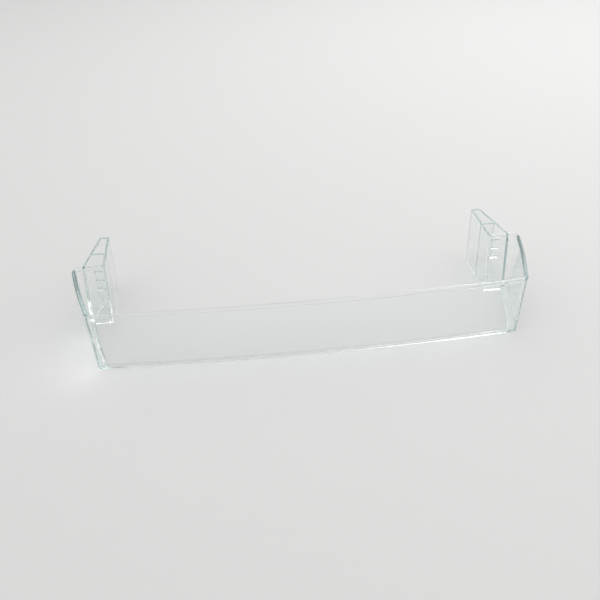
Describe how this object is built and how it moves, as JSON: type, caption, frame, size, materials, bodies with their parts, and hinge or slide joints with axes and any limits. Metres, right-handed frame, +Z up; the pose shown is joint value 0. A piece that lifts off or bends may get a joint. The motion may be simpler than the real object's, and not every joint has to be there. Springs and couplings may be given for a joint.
{
  "type": "fridge door shelf rail",
  "caption": "Clear moulded rail for a fridge door shelf, with a bowed front wall, splayed ends and a hollow tapered guide behind each end.",
  "frame": {"origin": "middle of the rail's bounding box in plan, on the surface that its foot stands on", "axes": "+X along the rail towards its right end as seen from the front, +Y back towards the fridge door, +Z up"},
  "size_m": [0.45, 0.1546, 0.064],
  "materials": {
    "clear_styrene": "polished"
  },
  "bodies": {
    "root": {"shelf_rail": "clear_styrene"}
  },
  "joints": []
}
